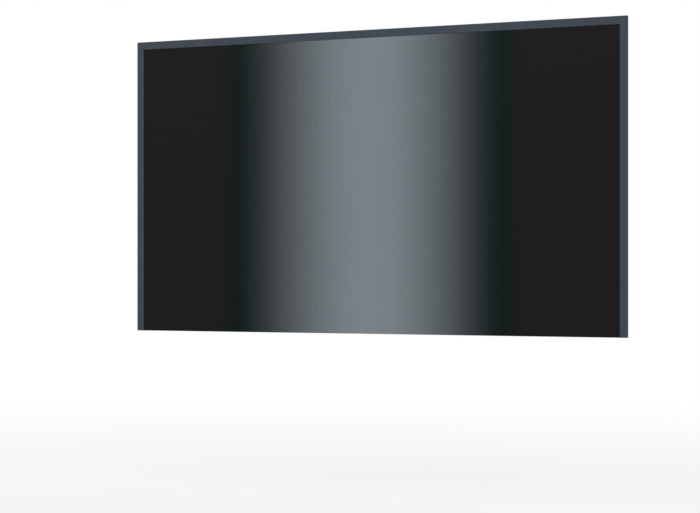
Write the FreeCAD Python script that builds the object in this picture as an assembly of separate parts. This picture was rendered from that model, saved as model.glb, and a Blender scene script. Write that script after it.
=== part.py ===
import FreeCAD, Part
import os
import math

from FreeCAD import Vector

# Privacy filter of the 23.8-inch 16:9 size: a louvre film taped into a slim three-sided frame,
# with magnet strips behind it that hold it in place.
# X runs across the filter, Z is up, and it is seen from -Y.
# The plane Y = 0 is where the magnets take hold, and the origin is the middle of the top strip there.

# Driving dimensions, in millimetres

# What the filter covers
screen_width = 527.0
screen_height = 296.5

# The frame: an L in section, with a front flange and a rim that runs back from its outer edge
border_width = 8.0
flange_thickness = 0.8
rim_thickness = 1.0
corner_radius = 1.0
edge_radius = 0.4
lip_chamfer = 0.4

# The sheets and strips behind the flange
film_thickness = 0.5
tape_thickness = 0.1
magnet_thickness = 0.7

# Clearances
film_gap = 0.25
tape_margin = 0.5
magnet_gap = 0.3
magnet_setback = 0.7
magnet_butt_gap = 0.3
magnet_end_gap = 1.5
magnet_proud = 0.15

# How near two points have to be to count as one
tolerance = 1e-4

# Levels along Y, from the backs of the magnet strips towards the viewer
magnet_front = -magnet_thickness
film_front = magnet_front - film_thickness
tape_front = film_front - tape_thickness
frame_front = tape_front - flange_thickness
rim_back = -magnet_proud

# Distances inwards from the frame's outer edge
film_inset = rim_thickness + film_gap
tape_inset = film_inset + tape_margin
tape_inner = border_width - tape_margin
magnet_inset = rim_thickness + magnet_gap
magnet_width = border_width - magnet_setback - magnet_inset

# The outline
overall_width = screen_width + 2 * border_width
overall_height = screen_height + border_width
top_edge = magnet_inset + magnet_width / 2
bottom_edge = top_edge - overall_height


def framed_sides(inset, level, foot):
    """Edges up the left side, over the top and down the right side, moved inwards by inset.

    The two corners keep the frame's corner centres, so their radius shrinks with the inset.
    """
    side = overall_width / 2 - inset
    top = top_edge - inset
    radius = max(corner_radius - inset, 0.0)
    if radius < tolerance:
        corners = [
            Vector(-side, level, foot),
            Vector(-side, level, top),
            Vector(side, level, top),
            Vector(side, level, foot),
        ]
        return Part.makePolygon(corners).Edges
    bend = radius * (1 - math.sqrt(0.5))
    left_start = Vector(-side, level, top - radius)
    left_middle = Vector(-side + bend, level, top - bend)
    left_end = Vector(-side + radius, level, top)
    right_start = Vector(side - radius, level, top)
    right_middle = Vector(side - bend, level, top - bend)
    right_end = Vector(side, level, top - radius)
    return [
        Part.makeLine(Vector(-side, level, foot), left_start),
        Part.Arc(left_start, left_middle, left_end).toShape(),
        Part.makeLine(left_end, right_start),
        Part.Arc(right_start, right_middle, right_end).toShape(),
        Part.makeLine(right_end, Vector(side, level, foot)),
    ]


def sheet(inset, front, back, foot=bottom_edge):
    """A flat sheet between two levels, with its framed sides moved inwards and its foot cut straight."""
    sides = framed_sides(inset, front, foot)
    start = sides[0].Vertexes[0].Point
    end = sides[-1].Vertexes[-1].Point
    wire = Part.Wire(sides + [Part.makeLine(end, start)])
    return Part.Face(wire).extrude(Vector(0, back - front, 0))


def edges_along(shape, inset, level):
    """The edges of a shape that lie on its framed sides, at an inset and a level."""
    path = Part.Wire(framed_sides(inset, level, bottom_edge))
    found = []
    for edge in shape.Edges:
        middle = edge.valueAt((edge.FirstParameter + edge.LastParameter) / 2)
        points = [middle] + [vertex.Point for vertex in edge.Vertexes]
        if all(Part.Vertex(point).distToShape(path)[0] < tolerance for point in points):
            found.append(edge)
    return found


def make_slim_frame():
    """The moulded frame: a blank, less the pocket behind its flange and the window that the film fills.

    Both cuts run past the blank by its own depth.
    """
    depth = rim_back - frame_front
    foot = bottom_edge - depth
    blank = sheet(0.0, frame_front, rim_back)
    pocket = sheet(rim_thickness, tape_front, rim_back + depth, foot)
    window = sheet(border_width, frame_front - depth, rim_back + depth, foot)
    frame = blank.cut(pocket).cut(window)
    rounded = edges_along(frame, 0.0, frame_front) + edges_along(frame, 0.0, rim_back)
    frame = frame.makeFillet(edge_radius, rounded)
    return frame.makeChamfer(lip_chamfer, edges_along(frame, border_width, frame_front))


def make_privacy_film():
    """The louvre film, from inside the rim down to the foot of the side bars."""
    return sheet(film_inset, film_front, magnet_front)


def make_film_tape():
    """Double-sided tape between the flange and the film, cut in one piece round the framed sides.

    The cut runs past the tape by the tape's own thickness.
    """
    foot = bottom_edge + tape_margin
    past = tape_thickness
    outer = sheet(tape_inset, tape_front, film_front, foot)
    inner = sheet(tape_inner, tape_front - past, film_front + past, foot - past)
    return outer.cut(inner)


def make_magnet_strips():
    """Flexible magnet strips behind the film: one along the top, and one down each side to below it."""
    reach = overall_width / 2 - magnet_inset
    half_width = magnet_width / 2
    top = Part.makeBox(
        2 * reach, magnet_thickness, magnet_width, Vector(-reach, magnet_front, -half_width)
    )
    side_top = -half_width - magnet_butt_gap
    side_foot = bottom_edge + magnet_end_gap
    left = Part.makeBox(
        magnet_width, magnet_thickness, side_top - side_foot, Vector(-reach, magnet_front, side_foot)
    )
    right = left.mirror(Vector(0, 0, 0), Vector(1, 0, 0))
    return {"top_magnet_strip": top, "left_magnet_strip": left, "right_magnet_strip": right}


def main():
    nodes = {
        "slim_frame": make_slim_frame(),
        "privacy_film": make_privacy_film(),
        "film_tape": make_film_tape(),
    }
    nodes.update(make_magnet_strips())
    os.makedirs("parts", exist_ok=True)
    for name, shape in nodes.items():
        shape.exportStep(f"parts/{name}.step")
        box = shape.BoundBox
        size = f"{box.XLength:.2f} x {box.YLength:.2f} x {box.ZLength:.2f} mm"
        print(f"{name}: {size}, {shape.Volume:.0f} mm3")


main()
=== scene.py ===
import math

import bpy
import numpy as np
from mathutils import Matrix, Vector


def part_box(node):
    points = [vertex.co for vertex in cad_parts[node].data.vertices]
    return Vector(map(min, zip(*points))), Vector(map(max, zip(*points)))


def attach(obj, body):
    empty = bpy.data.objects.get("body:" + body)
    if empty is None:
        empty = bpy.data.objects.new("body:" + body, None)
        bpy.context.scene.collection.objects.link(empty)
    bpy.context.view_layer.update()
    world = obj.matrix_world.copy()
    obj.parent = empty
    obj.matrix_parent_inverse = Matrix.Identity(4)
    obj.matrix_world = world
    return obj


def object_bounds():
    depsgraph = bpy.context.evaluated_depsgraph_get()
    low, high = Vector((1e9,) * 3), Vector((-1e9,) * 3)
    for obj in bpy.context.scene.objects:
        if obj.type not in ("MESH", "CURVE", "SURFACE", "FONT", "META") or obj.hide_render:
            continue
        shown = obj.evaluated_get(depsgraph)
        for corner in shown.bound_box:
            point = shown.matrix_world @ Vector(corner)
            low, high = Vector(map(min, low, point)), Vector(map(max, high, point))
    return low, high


# Privacy filter, seen from -Y: finishes for its solids, and the louvres inside its film
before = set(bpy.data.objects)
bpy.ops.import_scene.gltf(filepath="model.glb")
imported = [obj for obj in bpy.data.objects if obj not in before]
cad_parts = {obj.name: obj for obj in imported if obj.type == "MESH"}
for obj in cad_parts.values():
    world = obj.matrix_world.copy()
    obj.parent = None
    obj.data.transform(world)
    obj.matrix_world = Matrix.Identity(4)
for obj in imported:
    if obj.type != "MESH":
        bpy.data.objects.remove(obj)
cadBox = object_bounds()
mm = 0.001  # the scene is in metres


def linearColour(hexCode):
    # sRGB hex to linear: the straight toe below 0.04045, the 2.4 power above it
    codes = np.array([int(hexCode[i:i + 2], 16) for i in (1, 3, 5)]) / 255
    linear = np.where(codes <= 0.04045, codes / 12.92, ((codes + 0.055) / 1.055) ** 2.4)
    return (*linear.tolist(), 1.0)


def addNode(tree, kind, inputs=None, stops=(), **settings):
    # one node with its settings; an input takes a value or another node's output,
    # and stops are a colour ramp's (position, hex) pairs
    made = tree.nodes.new(kind)
    for name, value in settings.items():
        setattr(made, name, value)
    for name, value in (inputs or {}).items():
        if isinstance(value, bpy.types.NodeSocket):
            tree.links.new(value, made.inputs[name])
        else:
            made.inputs[name].default_value = value
    while stops and len(made.color_ramp.elements) < len(stops):
        made.color_ramp.elements.new(1.0)
    for i, (position, hexCode) in enumerate(stops):
        made.color_ramp.elements[i].position = position
        made.color_ramp.elements[i].color = linearColour(hexCode)
    return made


def newMaterial(name):
    material = bpy.data.materials.new(name)
    material.use_nodes = True
    material.node_tree.nodes.clear()
    return material, material.node_tree


def dressNode(node, material):
    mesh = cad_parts[node].data
    mesh.materials.clear()
    mesh.materials.append(material)


def addMesh(name, points, faces, material):
    mesh = bpy.data.meshes.new(name)
    mesh.from_pydata(points.tolist(), [], faces.tolist())
    mesh.materials.append(material)
    mesh.update()
    made = bpy.data.objects.new(name, mesh)
    bpy.context.scene.collection.objects.link(made)
    return made


# Louvre film: a black laminate that clears to smoky grey in the middle; the black flanks are painted
# shade, the louvres' shut-off to either side fixed on the film
filmLook = {
    "paintedShadeFlank": "#151214",  # painted shade: warm black where the louvres shut the view, fixed on the film
    "turn": "#011411",  # painted shade: the last dark before it clears, a little green
    "middle": "#182b2b",  # the film's own haze over what shows through
    "clearMiddle": -5.5 * mm,  # a little left, because the slats nearer the camera pass more light
    "clearReach": 154 * mm,  # from there to where the view is shut
    "turnReach": 174 * mm,  # from there to full black
    "facePasses": 0.74,  # share of light through each face in the middle
    "tint": "#f3faff",  # a breath of cool grey in what shows through
    "streak": 3 * mm,  # uneven louvre layers show as faint upright streaks
    "streakShare": 0.018,  # how far they sway the light
    "streakDetail": 1.0,
    "ridge": 0.4 * mm,  # louvres show as ridges about 0.1 mm apart, drawn coarser so that they show
    "ridgeShare": 0.16,
    "grain": 0.35 * mm,  # the hard coat's grain is about 0.02 mm, drawn coarser so that it shows
    "grainShare": 0.3,
    "grainDepth": 0.02 * mm,
    "bump": 0.5,
    "roughness": (0.34, 0.5),
    "ior": 1.5,
    "specular": 0.1,
}


def filmMaterial(look):
    # PET laminate with an anti-glare hard coat: a soft sheen, faint upright streaks, little mirror
    material, tree = newMaterial("PetLouvreFilmAntiGlare")
    place = addNode(tree, "ShaderNodeTexCoord").outputs["Object"]
    across = addNode(tree, "ShaderNodeSeparateXYZ", {"Vector": place}).outputs["X"]

    # streaks: smooth noise along X alone
    streaks = addNode(tree, "ShaderNodeTexNoise", {
        "W": across, "Scale": 1 / look["streak"], "Detail": look["streakDetail"]},
        noise_dimensions="1D").outputs["Fac"]
    passes = addNode(tree, "ShaderNodeMapRange", {
        "Value": streaks,
        "To Min": look["facePasses"] * (1 - look["streakShare"]),
        "To Max": look["facePasses"] * (1 + look["streakShare"])}).outputs["Result"]

    # how clear: a cosine that falls from the middle to nothing at clearReach, painted on the film in place
    # of the louvres' shut-off
    aside = addNode(tree, "ShaderNodeMath", {0: across, 1: look["clearMiddle"]},
                    operation="SUBTRACT").outputs[0]
    angle = addNode(tree, "ShaderNodeMapRange", {
        "Value": aside, "From Min": -look["clearReach"], "From Max": look["clearReach"],
        "To Min": -math.pi / 2, "To Max": math.pi / 2}).outputs["Result"]
    clear = addNode(tree, "ShaderNodeMath", {0: angle}, operation="COSINE").outputs[0]
    seen = addNode(tree, "ShaderNodeMath", {0: clear, 1: passes}, operation="MULTIPLY").outputs[0]
    solid = addNode(tree, "ShaderNodeMath", {0: 1.0, 1: seen}, operation="SUBTRACT").outputs[0]

    # the coat's tone, from the middle out to either side, painted shade towards the flanks
    far = addNode(tree, "ShaderNodeMath", {0: aside}, operation="ABSOLUTE").outputs[0]
    share = addNode(tree, "ShaderNodeMapRange", {
        "Value": far, "From Max": look["turnReach"]}).outputs["Result"]
    tone = addNode(tree, "ShaderNodeValToRGB", {"Fac": share}, stops=[
        (0.0, look["middle"]),
        (look["clearReach"] / look["turnReach"], look["turn"]),
        (1.0, look["paintedShadeFlank"])]).outputs["Color"]

    # the coat's shade: a grain in all directions, and ridges that are a cosine along X
    grain = addNode(tree, "ShaderNodeTexNoise", {
        "Vector": place, "Scale": 1 / look["grain"]}).outputs["Fac"]
    grainShade = addNode(tree, "ShaderNodeMapRange", {
        "Value": grain, "To Min": 1 - look["grainShare"],
        "To Max": 1 + look["grainShare"]}).outputs["Result"]
    turns = addNode(tree, "ShaderNodeMath", {0: across, 1: 2 * math.pi / look["ridge"]},
                    operation="MULTIPLY").outputs[0]
    ridges = addNode(tree, "ShaderNodeMath", {0: turns}, operation="COSINE").outputs[0]
    ridgeShade = addNode(tree, "ShaderNodeMapRange", {
        "Value": ridges, "From Min": -1.0, "To Min": 1 + look["ridgeShare"],
        "To Max": 1 - look["ridgeShare"]}).outputs["Result"]
    shade = addNode(tree, "ShaderNodeMath", {0: ridgeShade, 1: grainShade},
                    operation="MULTIPLY").outputs[0]
    shaded = addNode(tree, "ShaderNodeHueSaturation", {"Color": tone, "Value": shade}).outputs["Color"]

    rough = addNode(tree, "ShaderNodeMapRange", {
        "Value": grain, "To Min": look["roughness"][0], "To Max": look["roughness"][1]}).outputs["Result"]
    bump = addNode(tree, "ShaderNodeBump", {
        "Height": grain, "Distance": look["grainDepth"], "Strength": look["bump"]}).outputs["Normal"]
    coat = addNode(tree, "ShaderNodeBsdfPrincipled", {
        "Base Color": shaded, "Roughness": rough, "Normal": bump,
        "IOR": look["ior"], "Specular IOR Level": look["specular"]}).outputs["BSDF"]
    through = addNode(tree, "ShaderNodeBsdfTransparent", {"Color": linearColour(look["tint"])}).outputs[0]
    mixed = addNode(tree, "ShaderNodeMixShader", {0: solid, 1: through, 2: coat}).outputs[0]
    addNode(tree, "ShaderNodeOutputMaterial", {"Surface": mixed})
    return material


dressNode("privacy_film", filmMaterial(filmLook))
print("film dressed")


# Louvres inside the film: upright slats that shut the view from about 42 degrees to the side
louvreLook = {
    "pitch": filmLook["ridge"],  # as coarse as the ridges that they show as
    "thickness": 0.04 * mm,
    "cover": 0.05 * mm,  # clear sheet left over the slats at the front, back, top and foot
    "carbon": "#3e3a38",  # painted light: both tones paler than carbon is, because little light reaches it in there
    "carbonPale": "#494442",
    "mottle": 4 * mm,
    "mottleSpan": (0.3, 0.7),  # noise that gives the first and the last tone
    "roughness": (0.85, 0.95),
    "specular": 0.0,
}


def louvreSlats(look, filmBox):
    # one closed box per slat: the corners are the grid of two sides, two depths and two heights,
    # carried along X in even steps from the film's middle, one fewer than would reach its ends;
    # a box lists each face's corners in the turn that points it outwards
    low, high = np.array(filmBox[0]), np.array(filmBox[1])
    count = int((high[0] - low[0]) / look["pitch"]) - 1
    middles = (np.arange(count) - (count - 1) / 2) * look["pitch"]
    sides = np.array([-0.5, 0.5]) * look["thickness"]
    depths = np.array([low[1] + look["cover"], high[1] - look["cover"]])
    heights = np.array([low[2] + look["cover"], high[2] - look["cover"]])
    corners = np.stack(np.meshgrid(sides, depths, heights, indexing="ij"), axis=-1).reshape(-1, 3)
    points = np.repeat(corners[None], count, axis=0)
    points[:, :, 0] += middles[:, None]
    box = np.array([[0, 1, 3, 2], [4, 6, 7, 5], [0, 4, 5, 1], [2, 3, 7, 6], [0, 2, 6, 4], [1, 5, 7, 3]])
    faces = box[None] + len(corners) * np.arange(count)[:, None, None]
    return points.reshape(-1, 3), faces.reshape(-1, 4)


def louvreMaterial(look):
    # carbon-filled resin, skived, slightly uneven: dead black in truth, drawn dark grey as painted light
    material, tree = newMaterial("CarbonFilledResin")
    place = addNode(tree, "ShaderNodeTexCoord").outputs["Object"]
    mottle = addNode(tree, "ShaderNodeTexNoise", {
        "Vector": place, "Scale": 1 / look["mottle"]}).outputs["Fac"]
    tone = addNode(tree, "ShaderNodeValToRGB", {"Fac": mottle}, stops=[
        (look["mottleSpan"][0], look["carbon"]),
        (look["mottleSpan"][1], look["carbonPale"])]).outputs["Color"]
    rough = addNode(tree, "ShaderNodeMapRange", {
        "Value": mottle, "To Min": look["roughness"][0], "To Max": look["roughness"][1]}).outputs["Result"]
    shader = addNode(tree, "ShaderNodeBsdfPrincipled", {
        "Base Color": tone, "Roughness": rough, "Specular IOR Level": look["specular"]}).outputs["BSDF"]
    addNode(tree, "ShaderNodeOutputMaterial", {"Surface": shader})
    return material


slatPoints, slatFaces = louvreSlats(louvreLook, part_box("privacy_film"))
slats = addMesh("louvre_slats", slatPoints, slatFaces, louvreMaterial(louvreLook))
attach(slats, "root")
print(f"louvres placed, {len(slatFaces)} faces")


# Moulded frame: slate ABS with a fine spark-eroded grain
slimFrameLook = {
    "slate": "#414b56",
    "slateDark": "#333d48",
    "grain": 0.45 * mm,  # the tool's grain is about 0.15 mm, drawn coarser so that it shows
    "grainBreak": 0.6,  # how strongly finer grain breaks up the coarse
    "grainDepth": 0.06 * mm,
    "bump": 0.8,
    "mottle": 5 * mm,  # slow change of shade where the melt ran
    "mottleShare": 0.35,
    "toneSpan": (0.3, 0.7),  # noise that gives the darkest and the lightest tone
    "roughness": (0.46, 0.62),
    "ior": 1.53,
    "specular": 0.25,
}


def slimFrameMaterial(look):
    # moulded ABS, matt from the tool's grain, with a faint sheen on its rounded edges
    material, tree = newMaterial("MouldedAbsSlate")
    place = addNode(tree, "ShaderNodeTexCoord").outputs["Object"]
    grain = addNode(tree, "ShaderNodeTexNoise", {
        "Vector": place, "Scale": 1 / look["grain"], "Roughness": look["grainBreak"]}).outputs["Fac"]
    mottle = addNode(tree, "ShaderNodeTexNoise", {
        "Vector": place, "Scale": 1 / look["mottle"]}).outputs["Fac"]
    both = addNode(tree, "ShaderNodeMix", {
        "Factor": look["mottleShare"], "A": grain, "B": mottle}).outputs["Result"]
    tone = addNode(tree, "ShaderNodeValToRGB", {"Fac": both}, stops=[
        (look["toneSpan"][0], look["slateDark"]),
        (look["toneSpan"][1], look["slate"])]).outputs["Color"]
    rough = addNode(tree, "ShaderNodeMapRange", {
        "Value": grain, "To Min": look["roughness"][0], "To Max": look["roughness"][1]}).outputs["Result"]
    bump = addNode(tree, "ShaderNodeBump", {
        "Height": grain, "Distance": look["grainDepth"], "Strength": look["bump"]}).outputs["Normal"]
    shader = addNode(tree, "ShaderNodeBsdfPrincipled", {
        "Base Color": tone, "Roughness": rough, "Normal": bump,
        "IOR": look["ior"], "Specular IOR Level": look["specular"]}).outputs["BSDF"]
    addNode(tree, "ShaderNodeOutputMaterial", {"Surface": shader})
    return material


dressNode("slim_frame", slimFrameMaterial(slimFrameLook))
print("frame dressed")


# Magnet strips: ferrite powder in rubber, calendered along the strip
magnetLook = {
    "dark": "#1f1d1c",
    "pale": "#292624",
    "speck": "#3a3633",  # painted glints: ferrite grains that catch the light
    "toneSteps": (0.35, 0.6, 0.72),  # noise that gives dark, pale and speck
    "lineShare": 0.3,  # calender lines against grit
    "lineWidth": 0.5 * mm,  # calender lines are about 0.1 mm, drawn coarser so that they show
    "lineLength": 25 * mm,
    "grit": 0.5 * mm,  # ferrite grains are a few hundredths, drawn coarser so that they show
    "gritDetail": 3.0,
    "gritBreak": 0.7,  # how strongly finer grit breaks up the coarse
    "gritDepth": 0.015 * mm,
    "bump": 0.7,
    "roughness": (0.6, 0.8),
    "ior": 1.6,
    "specular": 0.25,
}


def magnetMaterial(look, name, along):
    # bonded ferrite sheet: dull brown-black, fine lines along the strip, specks of grit painted paler as
    # glints
    material, tree = newMaterial(name)
    place = addNode(tree, "ShaderNodeTexCoord").outputs["Object"]
    stretch = [1 / look["lineLength" if axis == along else "lineWidth"] for axis in "XYZ"]
    drawn = addNode(tree, "ShaderNodeMapping", {"Vector": place, "Scale": stretch}).outputs["Vector"]
    lines = addNode(tree, "ShaderNodeTexNoise", {"Vector": drawn, "Scale": 1.0}).outputs["Fac"]
    grit = addNode(tree, "ShaderNodeTexNoise", {
        "Vector": place, "Scale": 1 / look["grit"],
        "Detail": look["gritDetail"], "Roughness": look["gritBreak"]}).outputs["Fac"]
    both = addNode(tree, "ShaderNodeMix", {
        "Factor": look["lineShare"], "A": grit, "B": lines}).outputs["Result"]
    tones = (look["dark"], look["pale"], look["speck"])
    tone = addNode(tree, "ShaderNodeValToRGB", {"Fac": both},
                   stops=list(zip(look["toneSteps"], tones))).outputs["Color"]
    rough = addNode(tree, "ShaderNodeMapRange", {
        "Value": grit, "To Min": look["roughness"][1], "To Max": look["roughness"][0]}).outputs["Result"]
    bump = addNode(tree, "ShaderNodeBump", {
        "Height": both, "Distance": look["gritDepth"], "Strength": look["bump"]}).outputs["Normal"]
    shader = addNode(tree, "ShaderNodeBsdfPrincipled", {
        "Base Color": tone, "Roughness": rough, "Normal": bump,
        "IOR": look["ior"], "Specular IOR Level": look["specular"]}).outputs["BSDF"]
    addNode(tree, "ShaderNodeOutputMaterial", {"Surface": shader})
    return material


dressNode("top_magnet_strip", magnetMaterial(magnetLook, "BondedFerriteRubberAcross", "X"))
uprightMagnet = magnetMaterial(magnetLook, "BondedFerriteRubberUpright", "Z")
dressNode("left_magnet_strip", uprightMagnet)
dressNode("right_magnet_strip", uprightMagnet)
print("magnets dressed")


# Tape between the flange and the film: black acrylic on tissue
tapeLook = {
    "black": "#1a1a1b",
    "fibre": "#2e2e30",
    "fibreWidth": 0.4 * mm,  # tissue fibres are about 0.02 mm, drawn coarser so that they show
    "fibreCurl": 1.5,
    "fibreSpan": (0.45, 0.7),  # noise that gives black and fibre
    "roughness": (0.3, 0.5),
    "ior": 1.47,
}


def tapeMaterial(look):
    # tacky acrylic on tissue: black, half gloss, with the tissue's fibres just showing
    material, tree = newMaterial("AcrylicTissueTape")
    place = addNode(tree, "ShaderNodeTexCoord").outputs["Object"]
    fibre = addNode(tree, "ShaderNodeTexNoise", {
        "Vector": place, "Scale": 1 / look["fibreWidth"], "Distortion": look["fibreCurl"]}).outputs["Fac"]
    tone = addNode(tree, "ShaderNodeValToRGB", {"Fac": fibre}, stops=[
        (look["fibreSpan"][0], look["black"]),
        (look["fibreSpan"][1], look["fibre"])]).outputs["Color"]
    rough = addNode(tree, "ShaderNodeMapRange", {
        "Value": fibre, "To Min": look["roughness"][0], "To Max": look["roughness"][1]}).outputs["Result"]
    shader = addNode(tree, "ShaderNodeBsdfPrincipled", {
        "Base Color": tone, "Roughness": rough, "IOR": look["ior"]}).outputs["BSDF"]
    addNode(tree, "ShaderNodeOutputMaterial", {"Surface": shader})
    return material


dressNode("film_tape", tapeMaterial(tapeLook))
print("tape dressed")


# Camera: the filter's outline in the photograph, in pixels, gives the lens and the place
photoView = {
    "size": (700, 513),
    "left": 137.23,
    "right": 627.74,
    "leftTop": 42.58,
    "leftFoot": 330.36,
    "rightTop": 15.21,
    "rightFoot": 337.94,
    "sensor": 36.0,  # width in millimetres
}


def placeCamera(view, box):
    # The upright sides' heights in pixels give their depths, as shares of the focal length in pixels.
    # The filter's true width over its height then gives that length, and the depths give the turn.
    low, high = np.array(box[0]), np.array(box[1])
    width, height = high[0] - low[0], high[2] - low[2]
    middleX, middleY = view["size"][0] / 2, view["size"][1] / 2
    leftTall = view["leftFoot"] - view["leftTop"]
    rightTall = view["rightFoot"] - view["rightTop"]
    leftSide = (view["left"] - middleX) / leftTall * height
    rightSide = (view["right"] - middleX) / rightTall * height
    across = rightSide - leftSide
    deeper = math.sqrt(width ** 2 - across ** 2)
    focal = deeper / height / (1 / leftTall - 1 / rightTall)
    turn = math.atan2(deeper, across)
    leftDepth = focal * height / leftTall
    rightDepth = focal * height / rightTall

    # the lines of the top and the foot meet at eye level
    grow = (rightTall - leftTall) / (view["right"] - view["left"])
    topSlope = (view["rightTop"] - view["leftTop"]) / (view["right"] - view["left"])
    horizon = view["leftTop"] - topSlope * leftTall / grow
    eye = low[2] + (view["leftFoot"] - horizon) * leftDepth / focal

    # back from the right front edge, against the view and across it
    forward = np.array([-math.sin(turn), math.cos(turn)])
    sideways = np.array([math.cos(turn), math.sin(turn)])
    ground = np.array([high[0], low[1]]) - rightDepth * forward - rightSide * sideways

    lens = bpy.data.cameras.new("camera")
    lens.sensor_width = view["sensor"]
    lens.lens = focal / view["size"][0] * view["sensor"]
    lens.shift_y = (horizon - middleY) / view["size"][0]
    camera = bpy.data.objects.new("camera", lens)
    camera.location = (*ground.tolist(), eye)
    camera.rotation_euler = (math.pi / 2, 0, turn)
    bpy.context.scene.collection.objects.link(camera)
    bpy.context.scene.camera = camera
    print(f"camera: lens {lens.lens:.1f} mm, turn {math.degrees(turn):.1f} deg, shift {lens.shift_y:.4f}")


placeCamera(photoView, cadBox)


# Stage: a pale floor that fades into a white surround, and soft light from both sides and behind
stageLook = {
    "floor": "#f4f4f4",
    "drop": 165 * mm,  # from the filter's foot down to the floor
    "reach": 20.0,  # from the middle to the floor's edge, in metres
    "glow": 0.75,  # plain white share in the floor's own tone, where it is nearest
    "fade": (0.3, 1.8),  # the rest gives way to plain white between these distances
    "surround": "#ffffff",
    "ambient": 0.45,  # how strongly the surround lights things
    "lamps": {  # metres and watts
        "key": {"place": (-1.1, -2.2, 1.6), "size": 1.6, "power": 20},
        "fill": {"place": (1.8, -1.6, 0.9), "size": 1.4, "power": 8},
        "rear": {"place": (0.6, 2.2, 1.5), "size": 1.6, "power": 18},
    },
}


def seenPlain(tree):
    # 1 for rays from the eye, a mirror or through glass, 0 for the light that falls on things
    path = addNode(tree, "ShaderNodeLightPath").outputs
    eyeOrMirror = addNode(tree, "ShaderNodeMath", {
        0: path["Is Camera Ray"], 1: path["Is Glossy Ray"]}, operation="MAXIMUM").outputs[0]
    return addNode(tree, "ShaderNodeMath", {
        0: eyeOrMirror, 1: path["Is Transmission Ray"]}, operation="MAXIMUM").outputs[0]


def floorMaterial(look):
    # matt pale paint that takes the shadow, whiter with distance and see-through from below
    material, tree = newMaterial("PaleFloor")
    place = addNode(tree, "ShaderNodeTexCoord").outputs["Object"]
    away = addNode(tree, "ShaderNodeVectorMath", {0: place}, operation="LENGTH").outputs["Value"]
    fade = addNode(tree, "ShaderNodeMapRange", {
        "Value": away, "From Min": look["fade"][0], "From Max": look["fade"][1],
        "To Min": look["glow"]}, interpolation_type="SMOOTHSTEP").outputs["Result"]
    plain = addNode(tree, "ShaderNodeMath", {0: fade, 1: seenPlain(tree)}, operation="MULTIPLY").outputs[0]
    matt = addNode(tree, "ShaderNodeBsdfDiffuse", {"Color": linearColour(look["floor"])}).outputs[0]
    white = addNode(tree, "ShaderNodeEmission", {"Color": linearColour(look["surround"])}).outputs[0]
    mixed = addNode(tree, "ShaderNodeMixShader", {0: plain, 1: matt, 2: white}).outputs[0]
    under = addNode(tree, "ShaderNodeNewGeometry").outputs["Backfacing"]
    gone = addNode(tree, "ShaderNodeBsdfTransparent").outputs[0]
    oneSided = addNode(tree, "ShaderNodeMixShader", {0: under, 1: mixed, 2: gone}).outputs[0]
    addNode(tree, "ShaderNodeOutputMaterial", {"Surface": oneSided})
    return material


def layFloor(look, box):
    # a level square about the origin, by its drop below the filter's foot
    corners = np.array([[-1, -1], [1, -1], [1, 1], [-1, 1]]) * look["reach"]
    level = np.full(len(corners), box[0][2] - look["drop"])
    points = np.column_stack([corners, level])
    floor = addMesh("floor", points, np.array([[0, 1, 2, 3]]), floorMaterial(look))


def lightSurround(look):
    # full white where it is seen, weaker where it lights things
    world = bpy.data.worlds.new("surround")
    world.use_nodes = True
    tree = world.node_tree
    tree.nodes.clear()
    strength = addNode(tree, "ShaderNodeMapRange", {
        "Value": seenPlain(tree), "To Min": look["ambient"]}).outputs["Result"]
    sky = addNode(tree, "ShaderNodeBackground", {
        "Color": linearColour(look["surround"]), "Strength": strength}).outputs[0]
    addNode(tree, "ShaderNodeOutputWorld", {"Surface": sky})
    bpy.context.scene.world = world


def hangLamps(look, box):
    # a lamp shines straight down until it is tipped up about X, then turned about Z to the filter
    middle = (np.array(box[0]) + np.array(box[1])) / 2
    for name, lamp in look["lamps"].items():
        light = bpy.data.lights.new(name, "AREA")
        light.size = lamp["size"]
        light.energy = lamp["power"]
        made = bpy.data.objects.new(name, light)
        made.location = lamp["place"]
        aim = middle - np.array(lamp["place"])
        tip = math.atan2(math.hypot(aim[0], aim[1]), -aim[2])
        turn = math.atan2(-aim[0], aim[1])
        made.rotation_euler = (tip, 0, turn)
        bpy.context.scene.collection.objects.link(made)


layFloor(stageLook, cadBox)
lightSurround(stageLook)
hangLamps(stageLook, cadBox)
bpy.context.scene.view_settings.view_transform = "Standard"
print("stage set")
